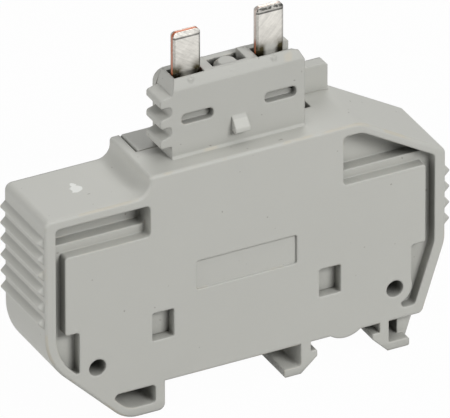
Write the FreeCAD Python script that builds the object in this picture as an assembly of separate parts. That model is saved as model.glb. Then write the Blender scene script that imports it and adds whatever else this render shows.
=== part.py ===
import FreeCAD, Part
import math
import os
from FreeCAD import Vector

# Plug-in fuse carrier of a terminal block, standing on its handle side with the contact blades up.
# Drawing datum: X from the left wall, Y from the label face towards the rear, Z from the floor.
# The finished shapes are moved so that the origin is at the centre of the footprint.

# Overall body
LENGTH = 40.38
DEPTH = 8.0
UNDERSIDE = 2.95
SHOULDER_TOP = 22.67
STEP_INSET = 9.69
MIDDLE_TOP = 24.6
CROWN_INSET = 8.63
RIGHT_CORNER_Z = 19.55
RIGHT_WALL_FOOT = 10.0
RIGHT_FOOT_INSET = 2.3
DIAGONAL = 8.0
SHOULDER_RADIUS = 0.65
STEP_RADIUS = 1.3
CROWN_RADIUS = 2.5
CORNER_RADIUS = 0.9
LEFT_HEEL_RADIUS = 6.5
HEEL_RADIUS = 4.0
SMALL_RADIUS = 0.35
RIGHT_FOOT_RADIUS = 0.6
EDGE_RADIUS = 0.3

# Walls
RIM = 1.0
RIGHT_RIM = 1.13
DIAGONAL_RIM = 0.86
FRONT_WALL = 1.1
LEDGE = 0.7
COVER_WALL = 1.1
COVER_GAP = 0.05
CORNER_FLOOR_WALL = 1.1

# Pull loop under the left heel
LOOP_RIGHT = 12.04
LOOP_WALL = 1.05
LOOP_DIAGONAL_WALL = 0.91
LOOP_BOTTOM_RADIUS = 3.2
LOOP_EDGE_RADIUS = 0.7
LOOP_HOLE_RADIUS = 0.4
LOOP_HOLE_BOTTOM = 2.2

# Marker groove: two hooks with a bump between them
MID_WEB_INSET = 14.68
MID_WEB = 1.0
MID_TOE = 1.7
TOE_HEIGHT = 0.8
LIP_TOP = 2.1
LIP_REACH = 0.65
LIP_TIP = 1.45
RIGHT_WEB_INSET = 6.65
RIGHT_WEB = 0.9
RIGHT_LIP_REACH = 0.75
RIGHT_LIP_TIP = 1.56
RIGHT_TOE = 2.1
STRUT_WIDTH = 0.85
STRUT_OVERHANG = 0.2
STRUT_SETBACK = 1.2
BUMP_HEIGHT = 0.38
BUMP_RADIUS = 2.43

# Grip ribs on the side walls
RIB_HEIGHT = 0.48
RIB_BASE = 1.05
RIB_PITCH = 1.66
RIB_LOWEST = 12.1
LEFT_RIBS = 6
RIGHT_RIBS = 4
RIB_SETBACK = 0.3
RIB_RUN_OUT = 0.2
RIB_TIP = 0.16

# Relief of the front face
RECESS_DEPTH = 1.08
DEEP_RECESS = 2.3
LEDGE_Z = 19.4
PAD_TOP = 18.5
PAD_EDGE = 0.95
PAD_STEP = 1.4
PAD_STEP_Z = 10.45
LEFT_RECESS_TOP = 21.7
RIGHT_RECESS_INSET = 10.43
CROWN_RIM = 1.05
SLOPE_RIM = 0.85
POCKET_FLOOR = 4.1
POCKET_INSET = 4.48
RECESS_RADIUS = 0.45
LABEL_Z = 11.7
LABEL_LENGTH = 10.15
LABEL_HEIGHT = 2.95
LABEL_DEPTH = 0.22
LABEL_RADIUS = 0.25

# Peg sockets and snap windows
PEG_INSET = 5.15
PEG_Z = 6.3
PEG_RADIUS = 1.0
PEG_CLEARANCE = 0.05
PEG_BOSS_RADIUS = 1.75
PEG_TIP = 3.5
PIN_RADIUS = 0.85
PIN_DEPTH = 3.0
PIN_FLOOR = 0.4
WINDOW_PITCH = 16.85
WINDOW_WIDTH = 2.2
WINDOW_Z = 7.5
WINDOW_HEIGHT = 2.9
WINDOW_RADIUS = 0.2
LEG_CLEARANCE = 0.05
LEG_OVERLAP = 0.3
LEG_WALL = 0.7

# Tongue that plugs into the base terminal
TONGUE_WIDTH = 13.4
TONGUE_OFFSET = 0.185
TONGUE_TOP = 32.5
TONGUE_FRONT = 2.03
TONGUE_PLATE = 0.9
TONGUE_CHAMFER = 1.0
TONGUE_BEVEL = 0.5
TONGUE_REAR = 4.95
TONGUE_LEAN = 0.5
TONGUE_LEAN_HEIGHT = 1.5
TONGUE_END_CHAMFER = 0.4
TONGUE_END_SLOPE = 1.1
TONGUE_END_DROP = 0.3
TONGUE_END_TOP = 30.95
TONGUE_FOOT = 0.2
SPLIT_Y = 4.64
BACK_PLATE = 0.7
BACK_PLATE_TOP = 31.95
BACK_PLATE_CORNER = 1.15
BACK_PLATE_INSET = 0.1
BACK_PLATE_BEVEL = 0.2
BACK_PLATE_GAP = 0.1
DIVIDER = 1.0
POST_RADIUS = 1.2
POST_DROP = 0.08
POST_EDGE = 0.4
FIN_REACH = 1.15
FIN_THICKNESS = 1.1
FIN_PITCH = 2.06
FIN_LOWEST = 25.85
FIN_COUNT = 3
FIN_TIP_RADIUS = 0.3
FIN_TIP_DROP = 0.3
FIN_ROOT_RADIUS = 0.35
FIN_LENGTH = 2.7
MOUTH_FLARE = 0.35
MOUTH_DEPTH = 0.7
SLOT_Z = 28.38
SLOT_HEIGHT = 1.06
SLOT_LENGTH = 3.2
SLOT_LEAD = 1.08
SLOT_DEPTH = 0.75
SLOT_END_DEPTH = 1.5
SLOT_END = 1.3
NUB_OFFSET = 0.67
NUB_WIDTH = 1.5
NUB_Z = 25.96
NUB_LAND = 0.5
NUB_HEIGHT = 1.5
NUB_PROUD = 0.8
CRUSH_GAP = 0.03
CRUSH_TIP = 0.15

# Cover bridge and key tab on the top
BRIDGE_MARGIN = 2.25
BRIDGE_RIGHT_MARGIN = 1.95
BRIDGE_WALL = 1.2
BRIDGE_LEFT_GAP = 0.15
BRIDGE_NOTCH = 1.0
BRIDGE_NOTCH_LENGTH = 1.25
SEAM_CHAMFER = 0.18
TAB_INSET = 8.46
TAB_WIDTH = 12.0
TAB_TOP = 27.3
TAB_CHAMFER = 0.25

# Cartridge fuse, 5 x 20 mm
FUSE_LENGTH = 20.0
FUSE_CAP_LENGTH = 5.0
FUSE_CAP_WALL = 0.12
FUSE_CAP_END = 0.3
FUSE_CAP_EDGE = 0.35
FUSE_GLASS_WALL = 0.5
FUSE_GLASS_GAP = 0.02
FUSE_WIRE_RADIUS = 0.1
SOLDER_RADIUS = 1.1
SOLDER_TIP = 0.35
SOLDER_HEIGHT = 0.7
FUSE_Z = 13.6
FUSE_BASE_GAP = 0.05
FUSE_REAR_GAP = 0.15

# Fuse clips of spring bronze
CLIP_SHEET = 0.4
CLIP_WIDTH = 3.2
CLIP_INWARD = 0.3
CLIP_GRIP = 0.04
CLIP_LIP = 0.15
CLIP_LIP_LENGTH = 0.5
CLIP_BACK_GAP = 0.25

# Blade contacts stamped from 0.8 mm strip
BLADE_WIDTH = 2.75
BLADE_SHEET = 0.8
BLADE_INSET = 2.08
BLADE_PITCH = 8.35
BLADE_FRONT = 3.0
BLADE_TOPS = (36.75, 37.15)
BLADE_CORNER = 0.5
BLADE_BEVEL = 0.18
BLADE_TAPER = 0.2
BLADE_TAPER_LENGTH = 0.6
SHANK_EXTRA = 0.2
STOP_GAP = 0.1
JOGGLE_LEAD = 0.15
JOGGLE_RISE = 1.6
JOGGLE_THICKEN = 0.35
FOOT_HEIGHT = 2.6
FOOT_GAP = 0.35
FOOT_CLEARANCE = 0.12
HOLD_DOWN_GAP = 0.6
RIVET_RADIUS = 0.6
RIVET_HEAD = 1.05
RIVET_HEAD_HEIGHT = 0.45
RIVET_HEAD_EDGE = 0.3
RIVET_GAP = 0.02
SLOT_CLEARANCE = 0.12

# Values that follow from the ones above
COVER_INNER = DEPTH - COVER_WALL
FUSE_X = LENGTH / 2
SHOULDER_END = FUSE_X - STEP_INSET
CROWN_END = LENGTH - CROWN_INSET
MID_WEB_LEFT = LENGTH - MID_WEB_INSET
RIGHT_WEB_LEFT = LENGTH - RIGHT_WEB_INSET
BUMP_X = (MID_WEB_LEFT + MID_WEB + RIGHT_WEB_LEFT) / 2
RIGHT_RECESS_START = LENGTH - RIGHT_RECESS_INSET
POCKET_LEFT = LENGTH - POCKET_INSET
PEG_X = (PEG_INSET, LENGTH - PEG_INSET)
WINDOW_X = tuple(FUSE_X + side * WINDOW_PITCH / 2 - WINDOW_WIDTH / 2 for side in (-1, 1))
LABEL_X = FUSE_X - LABEL_LENGTH / 2
TONGUE_LEFT = FUSE_X + TONGUE_OFFSET - TONGUE_WIDTH / 2
TONGUE_RIGHT = TONGUE_LEFT + TONGUE_WIDTH
BRIDGE_LEFT = TONGUE_LEFT - BRIDGE_MARGIN
BRIDGE_RIGHT = TONGUE_RIGHT + BRIDGE_RIGHT_MARGIN
FUSE_FRONT = FRONT_WALL + CLIP_SHEET + FUSE_BASE_GAP
FUSE_CAP_RADIUS = (COVER_INNER - FUSE_REAR_GAP - FUSE_FRONT) / 2
FUSE_Y = FUSE_FRONT + FUSE_CAP_RADIUS
CLIP_JAW = FUSE_CAP_RADIUS + CLIP_GRIP
CLIP_REACH = (FUSE_LENGTH - FUSE_CAP_LENGTH) / 2 - CLIP_INWARD
CLIP_X = (FUSE_X - CLIP_REACH, FUSE_X + CLIP_REACH)
BLADE_X = (TONGUE_LEFT + BLADE_INSET, TONGUE_LEFT + BLADE_INSET + BLADE_PITCH)
POST_X = sum(BLADE_X) / 2
SLOT_START = tuple(x - SLOT_LEAD for x in BLADE_X)
NUB_X = FUSE_X + TONGUE_OFFSET - NUB_OFFSET
SLOPE = (MIDDLE_TOP - RIGHT_CORNER_Z) / (LENGTH - CROWN_END)
SLANT = RIGHT_FOOT_INSET / (RIGHT_WALL_FOOT - UNDERSIDE)
FOOT_TOP = FUSE_Z + CLIP_JAW + CLIP_SHEET + FOOT_GAP + FOOT_HEIGHT
FOOT_Y = FRONT_WALL + CLIP_SHEET
RIVET_Z = FOOT_TOP - FOOT_HEIGHT / 2
JOGGLE_FOOT = FOOT_TOP + JOGGLE_LEAD
JOGGLE_TOP = JOGGLE_FOOT + JOGGLE_RISE
INNER_TOP = MIDDLE_TOP - BRIDGE_WALL
PEG_BORE = PEG_RADIUS + PEG_CLEARANCE
MOUTH_Y = TONGUE_FRONT + TONGUE_PLATE - MOUTH_FLARE
CRUSH_RIB = BLADE_FRONT - MOUTH_Y - CRUSH_GAP
PLATE_FRONT = TONGUE_REAR + BACK_PLATE_GAP
TAB_RIGHT = LENGTH - TAB_INSET
LEG_TIP = FRONT_WALL + LEG_CLEARANCE


def corner_arc(before, corner, after, radius):
    """Start and end of the round at a corner, with the arc between them."""
    to_before = (before - corner).normalize()
    to_after = (after - corner).normalize()
    half = to_before.getAngle(to_after) / 2
    run = radius / math.tan(half)
    start = corner + to_before * run
    end = corner + to_after * run
    middle_direction = (to_before + to_after).normalize()
    middle = corner + middle_direction * (radius / math.sin(half) - radius)
    return start, end, Part.Arc(start, middle, end).toShape()


def rounded_wire(corners, to_vector):
    """Closed wire through corners given as (u, v, radius)."""
    points = [to_vector(corner[0], corner[1]) for corner in corners]
    count = len(points)
    starts, ends, edges = [], [], []
    for i, corner in enumerate(corners):
        if corner[2] > 0:
            start, end, arc = corner_arc(points[i - 1], points[i], points[(i + 1) % count], corner[2])
        else:
            start, end, arc = points[i], points[i], None
        starts.append(start)
        ends.append(end)
        edges.append(arc)
    path = []
    for i in range(count):
        if edges[i] is not None:
            path.append(edges[i])
        if (starts[(i + 1) % count] - ends[i]).Length > 1e-6:
            path.append(Part.makeLine(ends[i], starts[(i + 1) % count]))
    return Part.Wire(path)


def front_face(corners):
    """Flat face in the XZ plane at the label face."""
    return Part.Face(rounded_wire(corners, lambda x, z: Vector(x, 0, z)))


def prism(corners, y_front, y_rear):
    """Profile seen from the front, extruded towards the rear."""
    face = front_face(corners)
    face.translate(Vector(0, y_front, 0))
    return face.extrude(Vector(0, y_rear - y_front, 0))


def block(x_left, x_right, y_front, y_rear, z_low, z_high):
    corner = Vector(x_left, y_front, z_low)
    return Part.makeBox(x_right - x_left, y_rear - y_front, z_high - z_low, corner)


def rounded_block(x_left, x_right, y_front, y_rear, z_low, z_high, radius):
    corners = [(x_left, z_low, radius), (x_right, z_low, radius),
               (x_right, z_high, radius), (x_left, z_high, radius)]
    return prism(corners, y_front, y_rear)


def pin_y(x, z, radius, y_front, y_rear):
    """Round pin along Y."""
    return Part.makeCylinder(radius, y_rear - y_front, Vector(x, y_front, z), Vector(0, 1, 0))


def side_prism(points, x_left, x_right):
    """Profile in the YZ plane, extruded along X; points are (y, z, radius)."""
    wire = rounded_wire(points, lambda y, z: Vector(x_left, y, z))
    return Part.Face(wire).extrude(Vector(x_right - x_left, 0, 0))


def upright(points, z_low, z_high):
    """Section in the XY plane, extruded upwards; points are (x, y)."""
    vectors = [Vector(x, y, z_low) for x, y in points]
    return Part.Face(Part.makePolygon(vectors + [vectors[0]])).extrude(Vector(0, 0, z_high - z_low))


def bevelled_upright(points, z_low, z_high):
    """Section in the XY plane with bevelled corners, extruded upwards; points are (x, y, bevel)."""
    corners = []
    count = len(points)
    for i, (x, y, bevel) in enumerate(points):
        here = Vector(x, y, z_low)
        for other in (points[i - 1], points[(i + 1) % count]):
            towards = (Vector(other[0], other[1], z_low) - here).normalize()
            corner = here + towards * bevel
            corners.append((corner.x, corner.y))
    return upright(corners, z_low, z_high)


def turned_x(points, y, z):
    """Solid of revolution about an axis along X; points are (x, radius)."""
    vectors = [Vector(x, y, z + radius) for x, radius in points]
    face = Part.Face(Part.makePolygon(vectors + [vectors[0]]))
    return face.revolve(Vector(0, y, z), Vector(1, 0, 0), 360)


def body_corners():
    """Outline of the case without the loop and the hooks."""
    return [(0, SHOULDER_TOP, SHOULDER_RADIUS),
            (SHOULDER_END, SHOULDER_TOP, STEP_RADIUS),
            (SHOULDER_END, MIDDLE_TOP, EDGE_RADIUS),
            (CROWN_END, MIDDLE_TOP, CROWN_RADIUS),
            (LENGTH, RIGHT_CORNER_Z, CORNER_RADIUS),
            (LENGTH, RIGHT_WALL_FOOT, HEEL_RADIUS),
            (LENGTH - RIGHT_FOOT_INSET, UNDERSIDE, RIGHT_FOOT_RADIUS),
            (DIAGONAL - UNDERSIDE, UNDERSIDE, 0),
            (0, DIAGONAL, LEFT_HEEL_RADIUS)]


def loop_corners():
    """Outline of the pull loop, overlapping the case above the underside."""
    root = UNDERSIDE + LOOP_WALL
    return [(DIAGONAL - root, root, 0),
            (DIAGONAL, 0, LOOP_BOTTOM_RADIUS),
            (LOOP_RIGHT, 0, LOOP_EDGE_RADIUS),
            (LOOP_RIGHT, root, 0)]


def loop_hole_corners():
    inner = DIAGONAL + LOOP_DIAGONAL_WALL * math.sqrt(2)
    return [(inner - LOOP_WALL, LOOP_WALL, LOOP_HOLE_BOTTOM),
            (LOOP_RIGHT - LOOP_WALL, LOOP_WALL, LOOP_HOLE_RADIUS),
            (LOOP_RIGHT - LOOP_WALL, UNDERSIDE, LOOP_HOLE_RADIUS),
            (inner - UNDERSIDE, UNDERSIDE, LOOP_HOLE_RADIUS)]


def middle_hook_corners():
    web_right = MID_WEB_LEFT + MID_WEB
    lip = web_right + LIP_REACH
    root = UNDERSIDE + RIM / 2
    return [(MID_WEB_LEFT, root, 0),
            (MID_WEB_LEFT, TOE_HEIGHT, SMALL_RADIUS),
            (MID_WEB_LEFT - MID_TOE, TOE_HEIGHT, 0.15),
            (MID_WEB_LEFT - MID_TOE, 0, 0.2),
            (MID_WEB_LEFT, 0, 0),
            (lip, LIP_TIP, 0.2),
            (lip, LIP_TOP, 0.15),
            (web_right, LIP_TOP, 0),
            (web_right, root, 0)]


def right_hook_corners():
    web_right = RIGHT_WEB_LEFT + RIGHT_WEB
    lip = RIGHT_WEB_LEFT - RIGHT_LIP_REACH
    toe = web_right + RIGHT_TOE
    root = UNDERSIDE + RIM / 2
    return [(web_right, root, 0),
            (web_right, TOE_HEIGHT, 0.2),
            (toe, TOE_HEIGHT, 0.15),
            (toe, 0, 0.2),
            (lip + RIGHT_LIP_TIP, 0, 0),
            (lip, RIGHT_LIP_TIP, 0.15),
            (lip, LIP_TOP, 0.15),
            (RIGHT_WEB_LEFT, LIP_TOP, 0),
            (RIGHT_WEB_LEFT, root, 0)]


def strut():
    """Slanted web behind the right hook, in line with the side wall above it."""
    toe = RIGHT_WEB_LEFT + RIGHT_WEB + RIGHT_TOE
    low = TOE_HEIGHT / 2
    top = UNDERSIDE + RIM / 2
    right = toe + STRUT_OVERHANG
    left = right - STRUT_WIDTH
    lean = (top - low) * SLANT
    corners = [(right, low, 0), (right + lean, top, 0), (left, top, 0), (left, low, 0)]
    return prism(corners, STRUT_SETBACK, DEPTH)


def bump():
    centre_z = UNDERSIDE - BUMP_HEIGHT + BUMP_RADIUS
    return pin_y(BUMP_X, centre_z, BUMP_RADIUS, 0, DEPTH)


def grip_ribs():
    """Rounded triangular ribs along both side walls."""
    ribs = []
    root = RIB_HEIGHT
    for side, count in ((-1, LEFT_RIBS), (1, RIGHT_RIBS)):
        wall = 0 if side < 0 else LENGTH
        for i in range(count):
            z = RIB_LOWEST + i * RIB_PITCH
            half = RIB_BASE * (RIB_HEIGHT + root) / RIB_HEIGHT / 2
            corners = [(wall - side * root, z - half, 0),
                       (wall + side * RIB_HEIGHT * 1.2, z, RIB_TIP),
                       (wall - side * root, z + half, 0)]
            ribs.append(prism(corners, RIB_SETBACK, DEPTH))
    return ribs


def rib_run_out():
    """Slanted cut that runs the front ends of the left ribs down to the wall."""
    outer = -2 * RIB_HEIGHT
    points = [(0, RIB_SETBACK - EDGE_RADIUS), (outer, RIB_SETBACK - EDGE_RADIUS),
              (outer, RIB_SETBACK + 2 * RIB_RUN_OUT), (0, RIB_SETBACK)]
    return upright(points, RIB_LOWEST - RIB_PITCH, RIB_LOWEST + LEFT_RIBS * RIB_PITCH)


def left_recess_corners():
    lower = DIAGONAL + DIAGONAL_RIM * math.sqrt(2)
    pad = RIM + PAD_EDGE
    step = pad + PAD_STEP
    return [(RIM, LEFT_RECESS_TOP, RECESS_RADIUS),
            (SHOULDER_END, LEFT_RECESS_TOP, RECESS_RADIUS),
            (SHOULDER_END, PAD_TOP, RECESS_RADIUS),
            (pad, PAD_TOP, 0.3),
            (pad, PAD_STEP_Z, 0.2),
            (step, PAD_STEP_Z, 0.3),
            (step, lower - step, 0.2),
            (RIM, lower - RIM, LEFT_HEEL_RADIUS - RIM)]


def right_recess_corners():
    right = LENGTH - RIGHT_RIM
    pad = right - PAD_EDGE
    step = pad - PAD_STEP
    crown_z, crown_x, slope_z = crown_line()
    heel_z = RIGHT_WALL_FOOT + RIM * SLANT / 2
    pocket_right = right - (heel_z - POCKET_FLOOR) * SLANT
    return [(RIGHT_RECESS_START, crown_z, RECESS_RADIUS),
            (crown_x, crown_z, CROWN_RADIUS - SLOPE_RIM),
            (right, slope_z, RECESS_RADIUS),
            (right, heel_z, HEEL_RADIUS - RIM),
            (pocket_right, POCKET_FLOOR, RECESS_RADIUS),
            (POCKET_LEFT, POCKET_FLOOR, RECESS_RADIUS),
            (POCKET_LEFT, PEG_Z, 0),
            (step, PEG_Z, 0),
            (step, PAD_STEP_Z, 0.3),
            (pad, PAD_STEP_Z, 0.2),
            (pad, PAD_TOP, 0.3),
            (RIGHT_RECESS_START, PAD_TOP, RECESS_RADIUS)]


def crown_line():
    """Inner rim line under the sloping crown: top height, its end, and its foot at the right rim."""
    crown_z = MIDDLE_TOP - CROWN_RIM
    drop = SLOPE_RIM * math.sqrt(1 + SLOPE ** 2)
    crown_x = CROWN_END + (MIDDLE_TOP - drop - crown_z) / SLOPE
    slope_z = crown_z - (LENGTH - RIGHT_RIM - crown_x) * SLOPE
    return crown_z, crown_x, slope_z


def deep_recesses():
    """Second, deeper level above the ledge, left and right."""
    crown_z, crown_x, slope_z = crown_line()
    ledge_x = crown_x + (crown_z - LEDGE_Z) / SLOPE
    left = [(RIM, LEFT_RECESS_TOP, RECESS_RADIUS),
            (SHOULDER_END, LEFT_RECESS_TOP, RECESS_RADIUS),
            (SHOULDER_END, LEDGE_Z, RECESS_RADIUS),
            (RIM, LEDGE_Z, RECESS_RADIUS)]
    right = [(RIGHT_RECESS_START, crown_z, RECESS_RADIUS),
             (crown_x, crown_z, CROWN_RADIUS - SLOPE_RIM),
             (ledge_x, LEDGE_Z, 0.2),
             (RIGHT_RECESS_START, LEDGE_Z, RECESS_RADIUS)]
    return [prism(left, 0, DEEP_RECESS), prism(right, 0, DEEP_RECESS)]


def inset_profile(inset, y_front, y_rear):
    """The case outline drawn in by a wall, as a prism."""
    face = front_face(body_corners()).makeOffset2D(-inset)
    face.translate(Vector(0, y_front, 0))
    return face.extrude(Vector(0, y_rear - y_front, 0))


def cavity():
    """Fuse chamber, blade neck, cored corners and the rebate for the cover."""
    pad_wall = RIM + PAD_EDGE + PAD_STEP + RIM
    chamber = rounded_block(pad_wall, LENGTH - pad_wall, FRONT_WALL, COVER_INNER,
                            UNDERSIDE + RIM + LEDGE, PAD_TOP - RIM, RIM)
    neck = block(BRIDGE_LEFT + RIM, BRIDGE_RIGHT - RIM, FRONT_WALL, COVER_INNER,
                 PAD_TOP - 2 * RIM, INNER_TOP)
    foot_half = CLIP_WIDTH / 2 + FOOT_CLEARANCE
    feet = block(CLIP_X[0] - foot_half, CLIP_X[1] + foot_half, FRONT_WALL, COVER_INNER,
                 PAD_TOP - 2 * RIM, FOOT_TOP + FOOT_CLEARANCE)
    corners = inset_profile(RIM + LEDGE, DEEP_RECESS + CORNER_FLOOR_WALL, COVER_INNER)
    rebate = inset_profile(RIM, COVER_INNER, DEPTH)
    return chamber.fuse([neck, feet, corners, rebate])


def bridge_opening():
    """Cut-out in the top wall that the cover's bridge fills."""
    top = block(BRIDGE_LEFT, BRIDGE_RIGHT, SPLIT_Y, DEPTH, INNER_TOP - RIM, MIDDLE_TOP + RIM)
    tab = block(BRIDGE_LEFT, TAB_RIGHT + COVER_GAP, COVER_INNER, DEPTH, INNER_TOP - RIM, MIDDLE_TOP + RIM)
    return top.fuse(tab)


def peg_bosses():
    return [pin_y(x, PEG_Z, PEG_BOSS_RADIUS, 0, COVER_INNER) for x in PEG_X]


def peg_sockets():
    """Blind pin holes in the label face, and the sockets for the cover's pegs behind them."""
    cuts = []
    for x in PEG_X:
        cuts.append(pin_y(x, PEG_Z, PIN_RADIUS, 0, PIN_DEPTH))
        cuts.append(pin_y(x, PEG_Z, PEG_BORE, PIN_DEPTH + PIN_FLOOR, COVER_INNER))
    return cuts


def snap_windows():
    return [rounded_block(x, x + WINDOW_WIDTH, 0, FRONT_WALL, WINDOW_Z, WINDOW_Z + WINDOW_HEIGHT,
                          WINDOW_RADIUS) for x in WINDOW_X]


def label_box():
    return rounded_block(LABEL_X, LABEL_X + LABEL_LENGTH, 0, LABEL_DEPTH,
                         LABEL_Z, LABEL_Z + LABEL_HEIGHT, LABEL_RADIUS)


def tongue_body():
    """Front half of the tongue, with a bevelled crest, a leaning left wall and a foot at its base."""
    chamfer_z = TONGUE_TOP - TONGUE_CHAMFER
    profile = [(TONGUE_FRONT, INNER_TOP, 0),
               (TONGUE_FRONT, chamfer_z, 0.3),
               (TONGUE_FRONT + TONGUE_BEVEL, TONGUE_TOP, 0.12),
               (TONGUE_REAR, TONGUE_TOP, 0),
               (TONGUE_REAR, MIDDLE_TOP + COVER_GAP, 0),
               (SPLIT_Y, MIDDLE_TOP + COVER_GAP, 0),
               (SPLIT_Y, INNER_TOP, 0)]
    body = side_prism(profile, TONGUE_LEFT, TONGUE_RIGHT)
    outline = [(TONGUE_LEFT, INNER_TOP, 0),
               (TONGUE_LEFT, TONGUE_TOP - TONGUE_LEAN_HEIGHT, 0.5),
               (TONGUE_LEFT + TONGUE_LEAN, TONGUE_TOP, 0.25),
               (TONGUE_RIGHT - TONGUE_END_SLOPE, TONGUE_TOP, 0),
               (TONGUE_RIGHT - TONGUE_END_CHAMFER, TONGUE_TOP - TONGUE_END_DROP, 0),
               (TONGUE_RIGHT, TONGUE_TOP - TONGUE_END_SLOPE, 0),
               (TONGUE_RIGHT, INNER_TOP, 0)]
    foot = side_prism([(TONGUE_FRONT - TONGUE_FOOT, MIDDLE_TOP, 0),
                       (TONGUE_FRONT, MIDDLE_TOP + TONGUE_FOOT, 0),
                       (SPLIT_Y, MIDDLE_TOP + TONGUE_FOOT, 0),
                       (SPLIT_Y, INNER_TOP, 0),
                       (TONGUE_FRONT - TONGUE_FOOT, INNER_TOP, 0)], TONGUE_LEFT, TONGUE_RIGHT)
    return body.common(prism(outline, TONGUE_FRONT, TONGUE_REAR)).fuse(foot)


def open_end():
    """The right end wall of the tongue is cut low between its front wall and the cover's plate."""
    left = BLADE_X[1] + BLADE_WIDTH / 2
    return block(left, TONGUE_RIGHT, MOUTH_Y, TONGUE_REAR, TONGUE_END_TOP, TONGUE_TOP)


def tongue_fins():
    """Comb of guide fins with sloping backs on the left edge of the tongue."""
    tip = TONGUE_LEFT - FIN_REACH
    root = TONGUE_LEFT
    corners = []
    for i in range(FIN_COUNT):
        low = FIN_LOWEST + i * FIN_PITCH
        high = low + FIN_THICKNESS
        low_root = FIN_ROOT_RADIUS if i else 0
        high_root = FIN_ROOT_RADIUS if i < FIN_COUNT - 1 else 0
        corners += [(root, low, low_root), (tip, low, FIN_TIP_RADIUS),
                    (tip, high - FIN_TIP_DROP, FIN_TIP_RADIUS), (root, high, high_root)]
    inner = TONGUE_LEFT + FIN_THICKNESS / 2
    corners += [(inner, FIN_LOWEST + (FIN_COUNT - 1) * FIN_PITCH + FIN_THICKNESS, 0), (inner, FIN_LOWEST, 0)]
    return prism(corners, TONGUE_FRONT, TONGUE_FRONT + FIN_LENGTH)


def blade_pocket(x):
    """Room for one blade with a flared mouth, open to the rear where the cover's plate closes it."""
    half = BLADE_WIDTH / 2 + SLOT_CLEARANCE
    front = TONGUE_FRONT + TONGUE_PLATE
    profile = [(front, INNER_TOP - RIM, 0), (TONGUE_REAR, INNER_TOP - RIM, 0), (TONGUE_REAR, TONGUE_TOP, 0),
               (MOUTH_Y, TONGUE_TOP, 0), (front, TONGUE_TOP - MOUTH_DEPTH, 0)]
    return side_prism(profile, x - half, x + half)


def crush_rib(x):
    """Half-round rib in the mouth that steadies the blade."""
    low = TONGUE_TOP - 2 * MOUTH_DEPTH
    high = TONGUE_TOP - CRUSH_TIP
    rib = Part.makeCylinder(CRUSH_RIB, high - CRUSH_TIP - low, Vector(x, MOUTH_Y, low))
    tip = Part.makeCone(CRUSH_RIB, CRUSH_RIB / 2, CRUSH_TIP, Vector(x, MOUTH_Y, high - CRUSH_TIP))
    return rib.fuse(tip)


def centre_well():
    """Open well between the two dividers."""
    half = BLADE_WIDTH / 2 + SLOT_CLEARANCE + DIVIDER
    return block(BLADE_X[0] + half, BLADE_X[1] - half, TONGUE_FRONT + TONGUE_PLATE, TONGUE_REAR,
                 MIDDLE_TOP + COVER_GAP, TONGUE_TOP)


def centre_post():
    """Round post in the well with a softened top, half sunk in the front plate."""
    y = SPLIT_Y - POST_RADIUS
    base = MIDDLE_TOP - EDGE_RADIUS
    top = TONGUE_TOP - POST_DROP
    post = Part.makeCylinder(POST_RADIUS, top - base, Vector(POST_X, y, base))
    return post.makeChamfer(POST_EDGE, [edge for edge in post.Edges if edge.BoundBox.ZMin > top - POST_EDGE])


def face_slots():
    """Obround slots in the face of the tongue, with a deep corner at their upper right."""
    cuts = []
    low = SLOT_Z - SLOT_HEIGHT / 2
    high = SLOT_Z + SLOT_HEIGHT / 2
    for x in SLOT_START:
        end = x + SLOT_LENGTH
        slot = rounded_block(x, end, TONGUE_FRONT - TONGUE_FOOT, TONGUE_FRONT + SLOT_DEPTH,
                             low, high, SLOT_HEIGHT / 2 - 0.1)
        corner = prism([(end - SLOT_END, high, 0), (end - SLOT_HEIGHT / 3, high, 0),
                        (end, high - SLOT_HEIGHT / 3, 0), (end, low + SLOT_HEIGHT / 3, 0)],
                       TONGUE_FRONT, TONGUE_FRONT + SLOT_END_DEPTH)
        cuts.append(slot.fuse(corner))
    return cuts


def latch_nub():
    """Wedge with a flat land at its foot, whose slope runs out towards the top of the tongue."""
    proud = TONGUE_FRONT - NUB_PROUD
    profile = [(SPLIT_Y - TONGUE_PLATE, NUB_Z, 0), (proud, NUB_Z, 0.12), (proud, NUB_Z + NUB_LAND, 0.12),
               (TONGUE_FRONT, NUB_Z + NUB_HEIGHT, 0), (SPLIT_Y - TONGUE_PLATE, NUB_Z + NUB_HEIGHT, 0)]
    return side_prism(profile, NUB_X, NUB_X + NUB_WIDTH)


def soften_front(shape):
    """Round the outer edges of the label face."""
    edges = []
    for edge in shape.Edges:
        box = edge.BoundBox
        if box.YMax < 1e-6:
            edges.append(edge)
    return shape.makeFillet(EDGE_RADIUS, edges)


def build_housing():
    case = prism(body_corners(), 0, DEPTH)
    loop = prism(loop_corners(), 0, DEPTH)
    hooks = [prism(middle_hook_corners(), 0, DEPTH), prism(right_hook_corners(), 0, DEPTH), strut()]
    case = soften_front(case.fuse(loop).removeSplitter())
    case = case.fuse(hooks + [rib.cut(rib_run_out()) for rib in grip_ribs()] + [bump()])
    case = case.cut([prism(loop_hole_corners(), 0, DEPTH), prism(left_recess_corners(), 0, RECESS_DEPTH),
                     prism(right_recess_corners(), 0, RECESS_DEPTH)] + deep_recesses())
    case = case.cut([cavity(), bridge_opening(), label_box()] + snap_windows())
    tongue = tongue_body().fuse([tongue_fins(), latch_nub()])
    tongue = tongue.cut(face_slots() + [centre_well(), open_end()])
    case = case.fuse(peg_bosses() + [tongue, centre_post()])
    case = case.cut([blade_pocket(x) for x in BLADE_X] + peg_sockets())
    case = case.fuse([crush_rib(x) for x in BLADE_X])
    return case.removeSplitter()


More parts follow.
